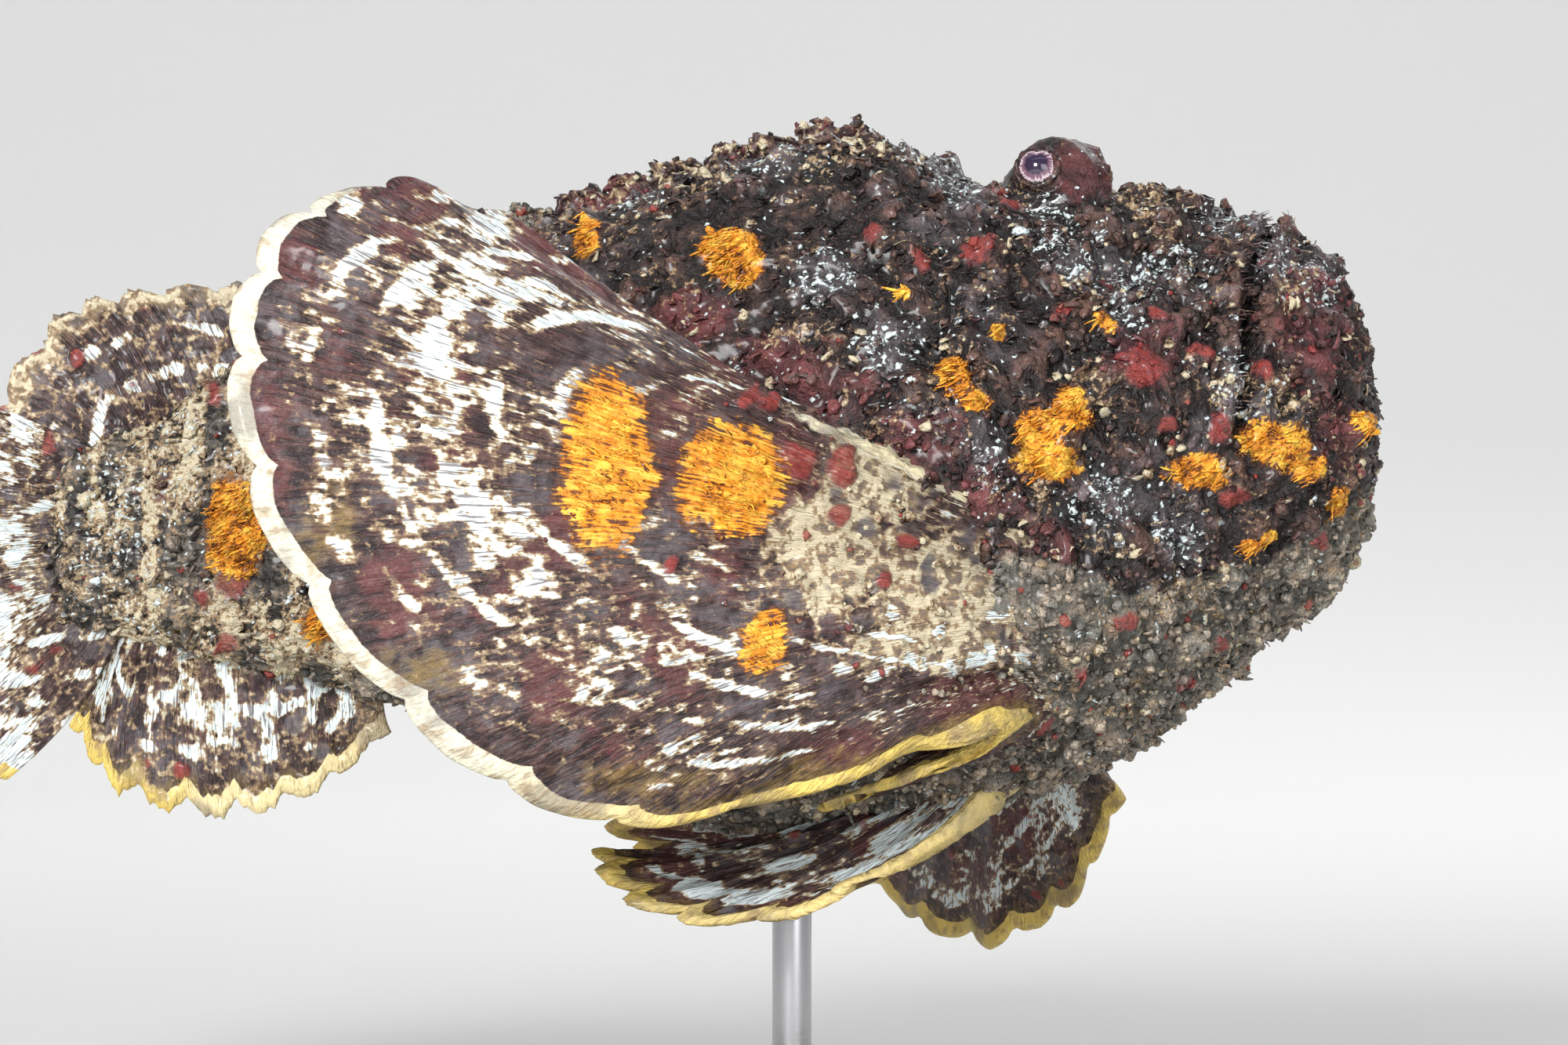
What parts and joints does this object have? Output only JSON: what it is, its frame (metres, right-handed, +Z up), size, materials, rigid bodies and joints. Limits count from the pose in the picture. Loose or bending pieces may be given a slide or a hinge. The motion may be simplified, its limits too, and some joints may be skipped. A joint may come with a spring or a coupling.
{
  "type": "stonefish",
  "caption": "Life-size swimming stonefish with warty skin, fan-shaped pectoral fins, an upturned mouth and raised eyes, held by a rod over a flat display base.",
  "frame": {"origin": "centre of the display base's underside", "axes": "+X towards the fish's mouth, +Y towards its left side, +Z up"},
  "size_m": [0.2901, 0.1978, 0.1937],
  "materials": {
    "warty_skin": "rough, warty, moist skin",
    "fin_skin": "moist ribbed skin, banded white on dark maroon",
    "eye": "glossy",
    "base_wood": "satin",
    "rod_steel": "brushed"
  },
  "bodies": {
    "root": {"head": "warty_skin", "lower_jaw": "warty_skin", "trunk": "warty_skin", "tail": "warty_skin", "eye_right": "eye", "eye_left": "eye", "pectoral_fin_right": "fin_skin", "pectoral_fin_left": "fin_skin", "pelvic_fin_right": "fin_skin", "pelvic_fin_left": "fin_skin", "dorsal_fin_spiny": "fin_skin", "dorsal_fin_soft": "fin_skin", "anal_fin": "fin_skin", "caudal_fin": "fin_skin", "stand_base": "base_wood", "stand_rod": "rod_steel"}
  },
  "joints": []
}
